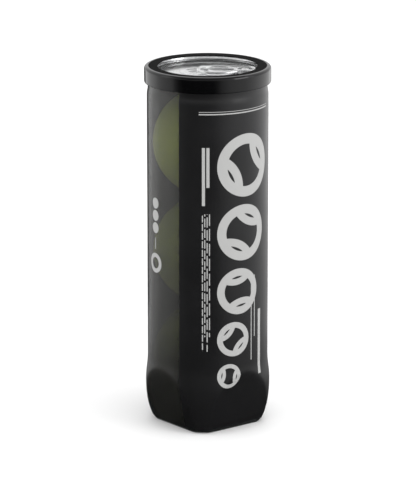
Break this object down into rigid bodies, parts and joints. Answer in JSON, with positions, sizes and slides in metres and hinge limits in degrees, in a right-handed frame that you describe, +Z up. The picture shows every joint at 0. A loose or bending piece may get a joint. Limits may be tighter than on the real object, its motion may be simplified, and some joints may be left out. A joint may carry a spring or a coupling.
{
  "type": "tennis ball can",
  "caption": "Tall black pressurised ball can with a smoke window strip, faceted foot, ring-pull metal end and push-on overcap, holding a stack of yellow felt balls.",
  "frame": {"origin": "centre of the foot, on the floor", "axes": "+Z up along the can's axis; the foot's narrow corners point along +X, -X, +Y and -Y, and the print's front faces -Y"},
  "size_m": [0.0754, 0.0754, 0.218],
  "materials": {
    "clear_bottle": "clear smoke-tinted PET, glossy",
    "printed_sleeve": "satin black printed film with a smoke window strip and light grey print",
    "end_metal": "bright, pressed and lacquered",
    "tab_metal": "bright, pressed and curled",
    "sealing_compound": "matte",
    "black_cap": "moulded, glossy",
    "clear_window": "clear, glossy",
    "felt": "napped wool and nylon felt",
    "seam_rubber": "matte",
    "core_rubber": "matte, ground"
  },
  "bodies": {
    "can": {"can_body": "clear_bottle", "label_sleeve": "printed_sleeve", "end_ring": "end_metal", "seam_gasket": "sealing_compound"},
    "overcap": {"overcap_ring": "black_cap", "overcap_window": "clear_window"},
    "tear_panel": {"tear_panel": "end_metal", "tab_tongue": "tab_metal"},
    "pull_tab": {"pull_tab": "tab_metal"},
    "ball_1": {"ball_1_felt_a": "felt", "ball_1_felt_b": "felt", "ball_1_seam": "seam_rubber", "ball_1_core_lower": "core_rubber", "ball_1_core_upper": "core_rubber"},
    "ball_2": {"ball_2_felt_a": "felt", "ball_2_felt_b": "felt", "ball_2_seam": "seam_rubber", "ball_2_core_lower": "core_rubber", "ball_2_core_upper": "core_rubber"},
    "ball_3": {"ball_3_felt_a": "felt", "ball_3_felt_b": "felt", "ball_3_seam": "seam_rubber", "ball_3_core_lower": "core_rubber", "ball_3_core_upper": "core_rubber"}
  },
  "joints": [
    {"name": "overcap_lift", "type": "slide", "parent": "can", "child": "overcap", "axis": [0, 0, 1], "range_m": [0, 0.32]},
    {"name": "tear_panel_lift", "type": "slide", "parent": "can", "child": "tear_panel", "axis": [0, 0, 1], "range_m": [0, 0.256]},
    {"name": "pull_tab_hinge", "type": "hinge", "parent": "tear_panel", "child": "pull_tab", "pos_m": [0.02851, 0.00632, 0.21445], "axis": [-0.2164, 0.9763, 0], "range_deg": [0, 90]},
    {"name": "ball_3_lift", "type": "slide", "parent": "can", "child": "ball_3", "axis": [0, 0, 1], "range_m": [0, 0.2432]},
    {"name": "ball_2_lift", "type": "slide", "parent": "can", "child": "ball_2", "axis": [0, 0, 1], "range_m": [0, 0.2304]},
    {"name": "ball_1_lift", "type": "slide", "parent": "can", "child": "ball_1", "axis": [0, 0, 1], "range_m": [0, 0.2176]}
  ],
  "couplings": [
    {"joint": "tear_panel_lift", "follows": "overcap_lift", "ratio": 0.8},
    {"joint": "ball_3_lift", "follows": "overcap_lift", "ratio": 0.76},
    {"joint": "ball_2_lift", "follows": "overcap_lift", "ratio": 0.72},
    {"joint": "ball_1_lift", "follows": "overcap_lift", "ratio": 0.68},
    {"joint": "pull_tab_hinge", "follows": "overcap_lift", "rad_per_m": 4.9087}
  ]
}
